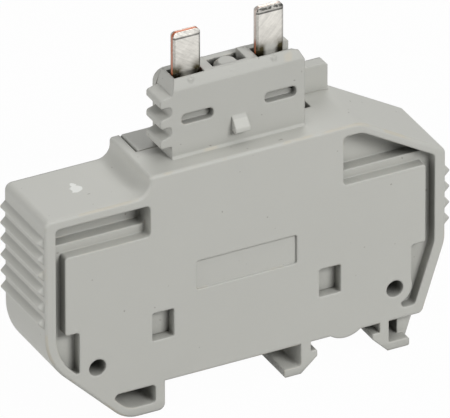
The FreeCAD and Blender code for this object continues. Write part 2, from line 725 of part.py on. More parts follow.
def cover_leg(x):
    """Cored leg that closes a window of the front wall from behind."""
    left = x - LEG_OVERLAP
    right = x + WINDOW_WIDTH + LEG_OVERLAP
    low = WINDOW_Z - LEG_OVERLAP
    top = WINDOW_Z + WINDOW_HEIGHT - LEG_CLEARANCE
    leg = rounded_block(left, right, LEG_TIP, COVER_INNER, low, top, WINDOW_RADIUS)
    core = block(left + LEG_WALL, right - LEG_WALL, LEG_TIP + LEG_WALL, COVER_INNER, low, top - LEG_WALL)
    return leg.cut(core)


def cover_peg(x):
    peg = pin_y(x, PEG_Z, PEG_RADIUS, PEG_TIP, COVER_INNER)
    tip = [edge for edge in peg.Edges if edge.BoundBox.YMax < PEG_TIP + 1e-6]
    return peg.makeChamfer(0.2, tip)


def hold_down(clip_x):
    """Rib on the inside of the cover that keeps a contact foot in place, beside the rivet head."""
    reach = RIVET_HEAD + HOLD_DOWN_GAP + RIM / 2
    x = clip_x + math.copysign(reach, FUSE_X - clip_x)
    return block(x - RIM / 2, x + RIM / 2, FOOT_Y + BLADE_SHEET + COVER_GAP, COVER_INNER,
                 FOOT_TOP - FOOT_HEIGHT, FOOT_TOP)


def bridge():
    """Part of the cover that closes the top, with the back plate of the tongue on it."""
    left = BRIDGE_LEFT + BRIDGE_LEFT_GAP
    right = BRIDGE_RIGHT - COVER_GAP
    front = SPLIT_Y + COVER_GAP
    top = prism([(left, INNER_TOP, 0), (left, MIDDLE_TOP - SEAM_CHAMFER, 0),
                 (left + SEAM_CHAMFER, MIDDLE_TOP, 0), (right, MIDDLE_TOP, 0),
                 (right, INNER_TOP, 0)], front, DEPTH)
    notch = block(right - BRIDGE_NOTCH, right, front, front + BRIDGE_NOTCH_LENGTH, INNER_TOP, MIDDLE_TOP)
    end = TONGUE_RIGHT - BACK_PLATE_INSET
    plate = prism([(TONGUE_LEFT, INNER_TOP, 0), (TONGUE_LEFT, BACK_PLATE_TOP, BACK_PLATE_CORNER),
                   (end - BACK_PLATE_BEVEL, BACK_PLATE_TOP, 0), (end, BACK_PLATE_TOP - BACK_PLATE_BEVEL, 0),
                   (end, INNER_TOP, 0)], PLATE_FRONT, PLATE_FRONT + BACK_PLATE)
    return top.cut(notch).fuse(plate)


def key_tab():
    left = TAB_RIGHT - TAB_WIDTH
    return prism([(left, INNER_TOP, 0), (left, TAB_TOP, TAB_CHAMFER),
                  (TAB_RIGHT - TAB_CHAMFER, TAB_TOP, 0), (TAB_RIGHT, TAB_TOP - TAB_CHAMFER, 0),
                  (TAB_RIGHT, INNER_TOP - RIM / 2, 0), (left, INNER_TOP - RIM / 2, 0)], COVER_INNER, DEPTH)


def build_cover():
    plate = inset_profile(RIM + COVER_GAP, COVER_INNER, DEPTH)
    parts = [bridge(), key_tab()]
    parts += [cover_peg(x) for x in PEG_X]
    parts += [cover_leg(x) for x in WINDOW_X]
    parts += [hold_down(x) for x in CLIP_X]
    return plate.fuse(parts).removeSplitter()


def build_contact(x, clip_x, top):
    """Blade, stop shoulders, joggle and riveted foot, stamped from one strip."""
    half = BLADE_WIDTH / 2
    rear = BLADE_FRONT + BLADE_SHEET
    stop = INNER_TOP - STOP_GAP
    section = [(x - half, BLADE_FRONT, BLADE_BEVEL), (x + half, BLADE_FRONT, BLADE_BEVEL),
               (x + half, rear, BLADE_BEVEL), (x - half, rear, BLADE_BEVEL)]
    blade = bevelled_upright(section, stop, top)
    edge_view = side_prism([(BLADE_FRONT, stop, 0),
                            (BLADE_FRONT, top - BLADE_TAPER_LENGTH, 0),
                            (BLADE_FRONT + BLADE_TAPER, top, 0),
                            (rear - BLADE_TAPER, top, 0),
                            (rear, top - BLADE_TAPER_LENGTH, 0),
                            (rear, stop, 0)], x - half, x + half)
    face_view = prism([(x - half, stop, 0), (x - half, top, BLADE_CORNER),
                       (x + half, top, BLADE_CORNER), (x + half, stop, 0)], BLADE_FRONT, rear)
    blade = blade.common(edge_view).common(face_view)
    wide = half + SHANK_EXTRA
    foot_low = FOOT_TOP - FOOT_HEIGHT
    shank = side_prism([(BLADE_FRONT, stop, 0), (rear, stop, 0), (rear, JOGGLE_TOP, 0.4),
                        (FOOT_Y + BLADE_SHEET, JOGGLE_FOOT, 0.9), (FOOT_Y + BLADE_SHEET, foot_low, 0),
                        (FOOT_Y, foot_low, 0), (FOOT_Y, JOGGLE_FOOT + JOGGLE_THICKEN, 0.4),
                        (BLADE_FRONT, JOGGLE_TOP + JOGGLE_THICKEN, 0.9)], x - wide, x + wide)
    clip_half = CLIP_WIDTH / 2
    foot = rounded_block(min(x - wide, clip_x - clip_half), max(x + wide, clip_x + clip_half),
                         FOOT_Y, FOOT_Y + BLADE_SHEET, foot_low, FOOT_TOP, SMALL_RADIUS)
    hole = pin_y(clip_x, RIVET_Z, RIVET_RADIUS + RIVET_GAP, FOOT_Y, FOOT_Y + BLADE_SHEET)
    return blade.fuse([shank, foot]).cut(hole).removeSplitter()


def build_clip(clip_x):
    """Folded clip: base, two jaws with flared lips, and the riveting tab."""
    left = clip_x - CLIP_WIDTH / 2
    right = clip_x + CLIP_WIDTH / 2
    base_y = FRONT_WALL
    mouth = COVER_INNER - CLIP_BACK_GAP
    inner = CLIP_JAW
    outer = CLIP_JAW + CLIP_SHEET
    lip = CLIP_LIP
    bend = mouth - CLIP_LIP_LENGTH
    profile = [(base_y, FUSE_Z - outer, 0.5),
               (bend, FUSE_Z - outer, 0),
               (mouth, FUSE_Z - outer - lip, 0),
               (mouth, FUSE_Z - inner - lip, 0),
               (bend, FUSE_Z - inner, 0),
               (base_y + CLIP_SHEET, FUSE_Z - inner, 0.1),
               (base_y + CLIP_SHEET, FUSE_Z + inner, 0.1),
               (bend, FUSE_Z + inner, 0),
               (mouth, FUSE_Z + inner + lip, 0),
               (mouth, FUSE_Z + outer + lip, 0),
               (bend, FUSE_Z + outer, 0),
               (base_y, FUSE_Z + outer, 0)]
    folded = side_prism(profile, left, right)
    tab = rounded_block(left, right, base_y, base_y + CLIP_SHEET, FUSE_Z, FOOT_TOP, SMALL_RADIUS)
    hole = pin_y(clip_x, RIVET_Z, RIVET_RADIUS + RIVET_GAP, base_y, base_y + CLIP_SHEET)
    return folded.fuse(tab).cut(hole).removeSplitter()


def build_rivet(clip_x):
    """Rivet closed over the contact foot, with a low bevelled head."""
    rear = FOOT_Y + BLADE_SHEET
    shank = pin_y(clip_x, RIVET_Z, RIVET_RADIUS, FRONT_WALL, rear)
    head = pin_y(clip_x, RIVET_Z, RIVET_HEAD, rear, rear + RIVET_HEAD_HEIGHT)
    rim = [edge for edge in head.Edges if edge.BoundBox.YMin > rear + RIVET_HEAD_HEIGHT / 2]
    return shank.fuse(head.makeChamfer(RIVET_HEAD_EDGE, rim)).removeSplitter()


def build_cap(side):
    """Drawn end cap of the fuse; side is -1 on the left and 1 on the right."""
    outer = FUSE_CAP_RADIUS
    inner = outer - FUSE_CAP_WALL
    end = FUSE_X + side * FUSE_LENGTH / 2
    points = [(0, 0), (0, outer - FUSE_CAP_EDGE), (FUSE_CAP_EDGE, outer), (FUSE_CAP_LENGTH, outer),
              (FUSE_CAP_LENGTH, inner), (FUSE_CAP_END, inner), (FUSE_CAP_END, 0)]
    return turned_x([(end - side * x, radius) for x, radius in points], FUSE_Y, FUSE_Z)


def build_glass():
    radius = FUSE_CAP_RADIUS - FUSE_CAP_WALL - FUSE_GLASS_GAP
    half = FUSE_LENGTH / 2 - FUSE_CAP_END
    bore = radius - FUSE_GLASS_WALL
    return turned_x([(FUSE_X - half, bore), (FUSE_X - half, radius), (FUSE_X + half, radius),
                     (FUSE_X + half, bore)], FUSE_Y, FUSE_Z)


def build_solder(side):
    """Bead of solder inside a cap, holding one end of the wire."""
    end = FUSE_X + side * (FUSE_LENGTH / 2 - FUSE_CAP_END)
    points = [(0, 0), (0, SOLDER_RADIUS), (SOLDER_HEIGHT, SOLDER_TIP), (SOLDER_HEIGHT, 0)]
    return turned_x([(end - side * x, radius) for x, radius in points], FUSE_Y, FUSE_Z)


def build_wire():
    half = FUSE_LENGTH / 2 - FUSE_CAP_END - SOLDER_HEIGHT
    return Part.makeCylinder(FUSE_WIRE_RADIUS, 2 * half, Vector(FUSE_X - half, FUSE_Y, FUSE_Z),
                             Vector(1, 0, 0))


def export(name, shape):
    """Move a shape from the drawing datum to the part's origin and write it."""
    moved = shape.copy()
    moved.translate(Vector(-LENGTH / 2, -DEPTH / 2, 0))
    solids = moved.Solids
    moved = solids[0] if len(solids) == 1 else moved
    moved.exportStep(os.path.join("parts", name + ".step"))
    print(name, "solids", len(solids), "valid", moved.isValid(), "volume", round(moved.Volume, 3))


def main():
    os.makedirs("parts", exist_ok=True)
    export("housing", build_housing())
    export("rear_cover", build_cover())
    for i, side in enumerate(("left", "right")):
        export(side + "_blade_contact", build_contact(BLADE_X[i], CLIP_X[i], BLADE_TOPS[i]))
        export(side + "_fuse_clip", build_clip(CLIP_X[i]))
        export(side + "_clip_rivet", build_rivet(CLIP_X[i]))
        export("fuse_" + side + "_cap", build_cap(2 * i - 1))
        export("fuse_" + side + "_solder", build_solder(2 * i - 1))
    export("fuse_glass_tube", build_glass())
    export("fuse_wire", build_wire())


main()
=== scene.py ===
# %% [markdown]
# A plug-in fuse carrier stands on its handle side with two tinned blades pointing up.
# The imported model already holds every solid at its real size, so this lesson dresses it:
# it sets the camera and a soft studio, then gives each piece the surface it really has.

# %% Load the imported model
import math
import bpy
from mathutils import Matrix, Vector


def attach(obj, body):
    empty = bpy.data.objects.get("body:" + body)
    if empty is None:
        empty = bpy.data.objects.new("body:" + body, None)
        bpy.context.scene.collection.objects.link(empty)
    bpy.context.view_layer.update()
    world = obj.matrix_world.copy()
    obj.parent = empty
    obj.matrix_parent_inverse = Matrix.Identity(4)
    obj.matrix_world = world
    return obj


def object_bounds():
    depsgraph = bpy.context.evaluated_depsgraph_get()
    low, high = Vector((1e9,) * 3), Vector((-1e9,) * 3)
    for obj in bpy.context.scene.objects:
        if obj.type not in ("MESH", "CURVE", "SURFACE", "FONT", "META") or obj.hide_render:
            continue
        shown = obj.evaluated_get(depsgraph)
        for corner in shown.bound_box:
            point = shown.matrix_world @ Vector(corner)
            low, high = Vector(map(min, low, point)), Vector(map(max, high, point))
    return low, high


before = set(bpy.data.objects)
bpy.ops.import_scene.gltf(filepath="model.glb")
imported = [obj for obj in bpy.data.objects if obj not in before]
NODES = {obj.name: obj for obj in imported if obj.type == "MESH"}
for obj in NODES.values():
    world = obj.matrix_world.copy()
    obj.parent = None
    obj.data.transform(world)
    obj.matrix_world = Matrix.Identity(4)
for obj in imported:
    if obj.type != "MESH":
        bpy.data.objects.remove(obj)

CAD_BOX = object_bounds()
MM = 0.001
print("nodes", len(NODES), "box", CAD_BOX)

# %% [markdown]
# The photograph was taken with a long lens from the left and above. A line along the case rises
# 2.6 pixels for each 9.9 it runs to the right, and a line into the depth rises 5.0 for each 5.1 it runs
# to the left, which gives the two angles below. A long lens from 1.6 m keeps edges nearly parallel, as
# they are there.

# %% Camera
VIEW_AZIMUTH = math.radians(-27.3)
VIEW_ELEVATION = math.radians(30.56)
CAMERA_DISTANCE = 1.6
FRAME_WIDTH_PX = 450
PIXELS_PER_METRE = 11140
SENSOR_MM = 36.0
AIM_X = -0.135 * MM
AIM_HEIGHT = 16.68 * MM
CLIP_END = 10.0

camera_data = bpy.data.cameras.new("studio_camera")
camera_data.sensor_fit = "HORIZONTAL"
camera_data.sensor_width = SENSOR_MM
camera_data.lens = SENSOR_MM * CAMERA_DISTANCE * PIXELS_PER_METRE / FRAME_WIDTH_PX
camera_data.clip_end = CLIP_END
camera = bpy.data.objects.new("studio_camera", camera_data)
bpy.context.scene.collection.objects.link(camera)
towards_camera = Vector((math.sin(VIEW_AZIMUTH) * math.cos(VIEW_ELEVATION),
                         -math.cos(VIEW_AZIMUTH) * math.cos(VIEW_ELEVATION),
                         math.sin(VIEW_ELEVATION)))
aim = Vector((AIM_X, 0.0, AIM_HEIGHT))
camera.location = aim + towards_camera * CAMERA_DISTANCE
camera.rotation_euler = towards_camera.to_track_quat("Z", "Y").to_euler()
bpy.context.scene.camera = camera
bpy.context.scene.view_settings.view_transform = "Standard"
print("lens", round(camera_data.lens, 1))

# %% [markdown]
# Shader maths reads best as plain arithmetic. A Signal wraps one socket of a material, so that
# 1 - mask or grain * 0.1 adds the Math node that does it. A ramp is a Map Range node that eases in and
# out, and near makes a soft band with one.

# %% Signals
class Signal:
    """One output socket of a finish. Arithmetic on it adds Math nodes."""

    def __init__(self, finish, socket):
        self.finish = finish
        self.socket = socket

    def maths(self, operation, first, second=None):
        values = {0: first}
        if second is not None:
            values[1] = second
        return self.finish.add("ShaderNodeMath", {"operation": operation}, values)

    def __add__(self, other):
        return self.maths("ADD", self, other)

    __radd__ = __add__

    def __mul__(self, other):
        return self.maths("MULTIPLY", self, other)

    def __sub__(self, other):
        return self.maths("SUBTRACT", self, other)

    def __rsub__(self, other):
        return self.maths("SUBTRACT", other, self)

    def __gt__(self, other):
        return self.maths("GREATER_THAN", self, other)

    def __lt__(self, other):
        return self.maths("LESS_THAN", self, other)

    def __abs__(self):
        return self.maths("ABSOLUTE", self)

    def root(self):
        return self.maths("SQRT", self)

    def near(self, middle, half, soft):
        """1 within half of the middle, and 0 from half + soft on."""
        return abs(self - middle).ramp(half + soft, half)

    def ramp(self, low, high, out_low=0.0, out_high=1.0):
        """Smoothly from out_low at low to out_high at high."""
        values = {"Value": self, "From Min": low, "From Max": high, "To Min": out_low, "To Max": out_high}
        return self.finish.add("ShaderNodeMapRange", {"interpolation_type": "SMOOTHSTEP"}, values)


print("signals ready")

# %% [markdown]
# A Finish holds one material. Its method add makes any node: first the node's settings, then the values
# or links of its sockets. The other methods are short names for the nodes that each finish here needs.
# The textures read Object coordinates, which are metres in the frame of the part, so a size in a finish
# is a real size.

# %% Finishes
BEVEL_SAMPLES = 12
HOLLOW_SAMPLES = 8
SRGB_TOP = 255

class Finish:
    """A material that is built node by node."""

    def __init__(self, name):
        self.material = bpy.data.materials.new(name)
        self.material.use_nodes = True
        self.tree = self.material.node_tree
        self.tree.nodes.clear()

    def add(self, kind, settings=None, values=None, output=0):
        node = self.tree.nodes.new(kind)
        for name, setting in (settings or {}).items():
            setattr(node, name, setting)
        for name, value in (values or {}).items():
            if isinstance(value, Signal):
                self.tree.links.new(value.socket, node.inputs[name])
            else:
                node.inputs[name].default_value = value
        return Signal(self, node.outputs[output])

    def place(self):
        """Object coordinates, in metres."""
        return self.add("ShaderNodeTexCoord", output="Object")

    def axes(self, vector):
        """The x, y and z of a vector."""
        node = self.add("ShaderNodeSeparateXYZ", None, {0: vector}).socket.node
        return [Signal(self, node.outputs[i]) for i in range(3)]

    def noise(self, size, detail=2.0, rough=0.5, vector=None):
        """Noise between 0 and 1 whose blobs are about size metres across."""
        where = self.place() if vector is None else vector
        return self.add("ShaderNodeTexNoise", None,
                        {"Vector": where, "Scale": 1.0 / size, "Detail": detail, "Roughness": rough})

    def stretch(self, scale, turn=0.0):
        """Object coordinates turned about Y by an angle in degrees, and stretched along each axis."""
        turned = self.add("ShaderNodeVectorRotate", {"rotation_type": "Y_AXIS"},
                          {"Vector": self.place(), "Angle": math.radians(turn)})
        return self.add("ShaderNodeMapping", None, {"Vector": turned, "Scale": scale})

    def normal(self):
        """The true normal of the mesh."""
        return self.add("ShaderNodeNewGeometry", output="Normal")

    def edges(self, radius):
        """The rounded normal, and how far it turns away from the true one, from 0 on the flat."""
        soft = self.add("ShaderNodeBevel", {"samples": BEVEL_SAMPLES}, {"Radius": radius})
        true = self.normal()
        facing = self.add("ShaderNodeVectorMath", {"operation": "DOT_PRODUCT"}, {0: soft, 1: true}, "Value")
        return soft, 1.0 - facing

    def hollow(self, size):
        """How much of the sky near a place is hidden within a distance, from 0 to 1."""
        settings = {"samples": HOLLOW_SAMPLES}
        return 1.0 - self.add("ShaderNodeAmbientOcclusion", settings, {"Distance": size}, "AO")

    def blend(self, mask, first, second):
        """The first colour where the mask is 0 and the second where it is 1."""
        return self.add("ShaderNodeMix", {"data_type": "RGBA"}, {0: mask, 6: first, 7: second}, 2)

    def shade(self, colour, amount):
        """A colour multiplied by a number."""
        return self.add("ShaderNodeVectorMath", {"operation": "SCALE"}, {0: colour[:3], "Scale": amount})

    def surface(self, **values):
        """The Principled shader, with underscores for the blanks in its socket names."""
        named = {name.replace("_", " "): value for name, value in values.items()}
        self.add_output(self.add("ShaderNodeBsdfPrincipled", None, named))

    def add_output(self, shader):
        node = self.tree.nodes.new("ShaderNodeOutputMaterial")
        self.tree.links.new(shader.socket, node.inputs["Surface"])


def tint(red, green, blue):
    """A colour as it reads on a screen, from 0 to 255, turned into the linear one that shaders use."""
    def linear(value):
        share = value / SRGB_TOP
        return share / 12.92 if share <= 0.04045 else ((share + 0.055) / 1.055) ** 2.4
    return (linear(red), linear(green), linear(blue), 1.0)


print("finishes ready")

# %% [markdown]
# The photograph has a pure white ground. The floor here is a plain pale sheet: rays from the camera
# see it almost white, and it still takes the soft shadow of the three feet. The world glows faintly and
# evenly, and rays from the camera, gloss and glass see it white or nearly so.

# %% Floor and world
FLOOR_SIZE = 2.0
FLOOR_WHITENESS = 0.98
FLOOR_GREY = 0.45
PLAIN_WHITE = 1.0
WORLD_STRENGTH = 0.1
GLOSS_WHITE = 0.85
WORLD_RAYS = (
    ("Is Glossy Ray", GLOSS_WHITE),
    ("Is Transmission Ray", PLAIN_WHITE),
    ("Is Camera Ray", PLAIN_WHITE),
)

def build_floor():
    mesh = bpy.data.meshes.new("studio_floor")
    half = FLOOR_SIZE / 2
    corners = [(-half, -half, 0), (half, -half, 0), (half, half, 0), (-half, half, 0)]
    mesh.from_pydata(corners, [], [(0, 1, 2, 3)])
    floor = bpy.data.objects.new("studio_floor", mesh)
    bpy.context.scene.collection.objects.link(floor)
    paint = Finish("floor_paper")
    paper = paint.add("ShaderNodeBsdfDiffuse", None, {"Color": (FLOOR_GREY, FLOOR_GREY, FLOOR_GREY, 1)})
    white = paint.add("ShaderNodeEmission", None, {"Color": (1, 1, 1, 1), "Strength": PLAIN_WHITE})
    seen = sum(paint.add("ShaderNodeLightPath", output=ray) for ray, strength in WORLD_RAYS)
    mixed = paint.add("ShaderNodeMixShader", None, {0: seen * FLOOR_WHITENESS, 1: paper, 2: white})
    paint.add_output(mixed)
    mesh.materials.append(paint.material)


def build_world():
    world = bpy.data.worlds.new("studio_world")
    bpy.context.scene.world = world
    world.use_nodes = True
    tree = world.node_tree
    tree.nodes.clear()
    path = tree.nodes.new("ShaderNodeLightPath")
    glow = tree.nodes.new("ShaderNodeBackground")
    glow.inputs["Strength"].default_value = WORLD_STRENGTH
    socket = glow.outputs[0]
    for ray, strength in WORLD_RAYS:
        plain = tree.nodes.new("ShaderNodeBackground")
        plain.inputs["Strength"].default_value = strength
        mix = tree.nodes.new("ShaderNodeMixShader")
        tree.links.new(path.outputs[ray], mix.inputs[0])
        tree.links.new(socket, mix.inputs[1])
        tree.links.new(plain.outputs[0], mix.inputs[2])
        socket = mix.outputs[0]
    output = tree.nodes.new("ShaderNodeOutputWorld")
    tree.links.new(socket, output.inputs["Surface"])


build_floor()
build_world()
print("floor and world ready")

# %% [markdown]
# Four lamps stand in for a light tent: one overhead, one in front on the right for the front face, one
# low on the left for the ribbed end, and one behind for the back and the tops. The one in front leaves
# the walls inside the recesses in shadow, as they are in the photo. Each is a square Area light, and the
# bigger or nearer it is, the softer are its shadows. The columns are the name, the azimuth and elevation
# in degrees, the distance and the size in metres, and the power in watts.

# %% Lamps
LAMPS = (
    ("lamp_over", 40, 80, 0.5, 0.25, 0.36),
    ("lamp_key", 20, 34, 0.9, 0.375, 6.5),
    ("lamp_side", -90, 12, 0.6, 0.3, 1.85),
    ("lamp_rear", 150, 40, 0.6, 0.3, 0.9),
)

def build_lamp(name, azimuth, elevation, distance, size, power):
    """A square area lamp that looks at the object from a direction in degrees."""
    data = bpy.data.lights.new(name, "AREA")
    data.size = size
    data.energy = power
    lamp = bpy.data.objects.new(name, data)
    bpy.context.scene.collection.objects.link(lamp)
    a = math.radians(azimuth)
    e = math.radians(elevation)
    direction = Vector((math.sin(a) * math.cos(e), -math.cos(a) * math.cos(e), math.sin(e)))
    lamp.location = aim + direction * distance
    lamp.rotation_euler = direction.to_track_quat("Z", "Y").to_euler()


for lamp in LAMPS:
    build_lamp(*lamp)
print("lamps", len(LAMPS))

# %% [markdown]
# The case and its cover are light grey polyamide from a spark-eroded mould. Up close such plastic has
# faint flow clouds, a very fine matte grain and a few dark specks. Noise textures make all three, each at
# its real size. A tone says how strongly a noise changes the colour, and a range says from where to where
# a noise eases in.

# %% Colour and grain of the plastic
POLYAMIDE = tint(186, 186, 180)
PLASTIC_TONE = 0.96
CLOUD_SIZE = 9 * MM
CLOUD_DETAIL = 3.0
CLOUD_TONE = 0.05
GRAIN_SIZE = 0.12 * MM
GRAIN_TONE = 0.04
GRAIN_HEIGHT = 0.02 * MM
GRAIN_BUMP = 0.25
GRAIN_ROUGHNESS = 0.12
MATTE_ROUGHNESS = 0.5
SPECK = tint(110, 104, 96)
SPECK_SIZE = 0.45 * MM
SPECK_RANGE = (0.84, 0.87)
SPECK_COVER = 0.5
print("plastic", [round(share, 3) for share in POLYAMIDE[:3]])

# %% [markdown]
# Painted shade darkens the colour in the hollows and, much more, in the deep holes. An Ambient Occlusion
# node finds both, once with a short reach and once with a long one. The valleys between the grip ribs get
# painted shade too, and their tips a painted highlight. The tongue is painted a shade darker than the case,
# except for the little latch, which stands proud of its face and is painted lighter. Each function returns
# how much darker a place is painted.

# %% Painted shade and light
HOLLOW_SIZE = 2.2 * MM
HOLLOW_RANGE = (0.15, 0.8)
HOLLOW_PAINTED_SHADE = 0.33
TUNNEL_SIZE = 5 * MM
TUNNEL_RANGE = (0.72, 0.95)
TUNNEL_PAINTED_SHADE = 0.4
CASE_LEFT_X = -20.2 * MM
RIB_TIP_X = -20.6 * MM
VALLEY_PAINTED_SHADE = 0.14
RIB_TIP_PAINTED_HIGHLIGHT = 0.08
CASE_TOP_Z = 24.65 * MM
TONGUE_FACE_Y = -2.15 * MM
LATCH_EASE = 0.1 * MM
TONGUE_PAINTED_SHADE = 0.07
LATCH_PAINTED_LIGHT = 0.05

# Painted shade: the colour darkens where Ambient Occlusion finds the sky hidden.
def painted_hollow_shade(finish):
    hollows = finish.hollow(HOLLOW_SIZE).ramp(*HOLLOW_RANGE)
    holes = finish.hollow(TUNNEL_SIZE).ramp(*TUNNEL_RANGE)
    return hollows * HOLLOW_PAINTED_SHADE + holes * TUNNEL_PAINTED_SHADE


# Painted shade in the rib valleys and a painted highlight on the rib tips.
def rib_painted_light(x):
    return (x < CASE_LEFT_X) * x.ramp(CASE_LEFT_X, RIB_TIP_X, VALLEY_PAINTED_SHADE, -RIB_TIP_PAINTED_HIGHLIGHT)


# Painted shade darkens the tongue, and painted light brightens its latch.
def tongue_painted_light(y, z):
    return (z > CASE_TOP_Z) * y.ramp(TONGUE_FACE_Y - LATCH_EASE, TONGUE_FACE_Y, -LATCH_PAINTED_LIGHT, TONGUE_PAINTED_SHADE)


print("case top at", CASE_TOP_Z, "and rib tips at", RIB_TIP_X)

# %% [markdown]
# A moulding has soft edges that catch the light. A Bevel node rounds the shading there without touching
# the mesh, by a quarter of a millimetre and a little more on the ribs. Where the rounded normal turns away
# from the true one there is an edge, and where the true one looks half to the front there is a fillet of
# the model. Both have brownish scuffs in places, and the fillets get a little painted shade.

# %% Moulded polyamide
RUBBED = tint(186, 178, 160)
RUB_SIZE = 3 * MM
RUB_RANGE = (0.52, 0.62)
RUB_COVER = 0.5
EDGE_ROUND = 0.26 * MM
RIB_EDGE_ROUND = 0.34 * MM
EDGE_RANGE = (0.02, 0.3)
EDGE_POLISH = 0.08
FILLET_RANGE = (0.2, 0.45)
FILLET_PAINTED_SHADE = 0.06

def polyamide(name, colour, marks=None):
    """Matte grey plastic. marks takes the finish and its colour, and returns the colour with marks on it."""
    finish = Finish(name)
    x, y, z = finish.axes(finish.place())
    side, facing, up = finish.axes(finish.normal())
    clouds = finish.noise(CLOUD_SIZE, CLOUD_DETAIL)
    grain = finish.noise(GRAIN_SIZE)
    soft, turn = finish.edges((x < CASE_LEFT_X) * (RIB_EDGE_ROUND - EDGE_ROUND) + EDGE_ROUND)
    edge = turn.ramp(*EDGE_RANGE)
    fillet = (abs(facing) * (abs(side) + abs(up))).ramp(*FILLET_RANGE)
    # Painted shade and light: hollows, rib valleys, tongue and fillets darker; rib tips and latch lighter.
    painted_plastic_shade = painted_hollow_shade(finish) + rib_painted_light(x) + tongue_painted_light(y, z) + fillet * FILLET_PAINTED_SHADE
    base = finish.shade(colour, clouds * CLOUD_TONE + grain * GRAIN_TONE + PLASTIC_TONE - painted_plastic_shade)
    rubbed = (edge + fillet) * finish.noise(RUB_SIZE).ramp(*RUB_RANGE)
    base = finish.blend(rubbed * RUB_COVER, base, RUBBED)
    specks = finish.noise(SPECK_SIZE, 0.0).ramp(*SPECK_RANGE)
    base = finish.blend(specks * SPECK_COVER, base, SPECK)
    if marks:
        base = marks(finish, base)
    bump = finish.add("ShaderNodeBump", None, {"Strength": GRAIN_BUMP, "Distance": GRAIN_HEIGHT,
                                               "Height": grain, "Normal": soft})
    roughness = MATTE_ROUGHNESS + grain * GRAIN_ROUGHNESS - edge * EDGE_POLISH
    finish.surface(Base_Color=base, Roughness=roughness, Normal=bump)
    return finish.material


def dress(node, material):
    """Put one material in every slot of a CAD node."""
    mesh = NODES[node].data
    mesh.materials.clear()
    mesh.materials.append(material)


dress("rear_cover", polyamide("cover_polyamide", POLYAMIDE))
print("cover dressed")

# %% [markdown]
# The plastic was injected through the middle of the left shoulder, and twisting off the sprue there
# left a pale, stressed patch a millimetre wide, with a smaller one behind it. They are painted where they
# lie on the housing: the distance from each centre, made uneven with noise, decides where the plastic
# turns whitish.

# %% Gate mark
STRESSED = tint(226, 227, 223)
STRESS_COVER = 0.9
GATE_RADIUS = 0.56 * MM
GATE_SPOTS = ((-14.97 * MM, 0.2 * MM, GATE_RADIUS), (-14.94 * MM, 1.08 * MM, 0.3 * MM))
GATE_OUTER = 1.1
GATE_INNER = 0.8
GATE_UNEVEN = 0.9 * MM
GATE_UNEVEN_SIZE = 0.7 * MM
SHOULDER_BELOW_Z = 22.4 * MM
SHOULDER_ABOVE_Z = 23 * MM

def gate_mark(finish, base):
    x, y, z = finish.axes(finish.place())
    uneven = (finish.noise(GATE_UNEVEN_SIZE) - 0.5) * GATE_UNEVEN
    on_shoulder = (z > SHOULDER_BELOW_Z) * (z < SHOULDER_ABOVE_Z)
    for spot_x, spot_y, radius in GATE_SPOTS:
        along = x - spot_x
        across = y - spot_y
        reach = (along * along + across * across).root() + uneven * (radius / GATE_RADIUS)
        patch = reach.ramp(radius * GATE_OUTER, radius * GATE_INNER)
        base = finish.blend(patch * on_shoulder * STRESS_COVER, base, STRESSED)
    return base


dress("housing", polyamide("housing_polyamide", POLYAMIDE, gate_mark))
print("housing dressed")

# %% [markdown]
# The blades are copper strip, tinned before it was stamped. One finish serves both, so it first works out
# where a point lies: on which blade, how far from that blade's centre line, how high above the tongue, and
# how far below the tip, which is 0.4 mm higher on the right. Points whose normal looks to the side or up
# lie on a cut face. Two noises, a cloud and a slight wobble, make all that follows a little uneven.

# %% Places on the blades
BLADES_MIDDLE_X = -0.265 * MM
BLADE_PITCH = 8.35 * MM
TONGUE_TOP_Z = 32.5 * MM
TIP_HEIGHT = 4.25 * MM
TIP_STEP = 0.4 * MM
CUT_FACE = 0.5
TIN_CLOUD_SIZE = 0.6 * MM
TIN_CLOUD_DETAIL = 4.0
TIN_CLOUD_ROUGH = 0.6
WOBBLE_SIZE = 0.5 * MM
WOBBLE = 0.1 * MM

class BladeFinish(Finish):
    """A finish that knows where a point lies on the two blades."""

    def __init__(self, name):
        super().__init__(name)
        x, self.depth, z = self.axes(self.place())
        self.facing, self.up = self.axes(self.normal())[1:]
        self.cut = abs(self.facing) < CUT_FACE
        self.right = x > 0.0
        self.offset = x - BLADES_MIDDLE_X - (self.right * 2 - 1) * (BLADE_PITCH / 2)
        self.above = z - TONGUE_TOP_Z
        self.below_tip = self.right * TIP_STEP + TIP_HEIGHT - self.above
        self.cloud = self.noise(TIN_CLOUD_SIZE, TIN_CLOUD_DETAIL, TIN_CLOUD_ROUGH)
        self.wobble = (self.noise(WOBBLE_SIZE, 1.0) - 0.5) * WOBBLE


print("blades at", BLADES_MIDDLE_X - BLADE_PITCH / 2, "and", BLADES_MIDDLE_X + BLADE_PITCH / 2)

# %% [markdown]
# The faces are silvery and brushed at a slant, one way on the left blade and mostly the other way on the
# right one. A noise stretched along a turned axis gives such scratches. The cut faces, the bevels beside
# them, the lead-in at the tip, the very edges and a band along the right of each face are painted darker,
# as painted shade, most of all on the right blade's tip.

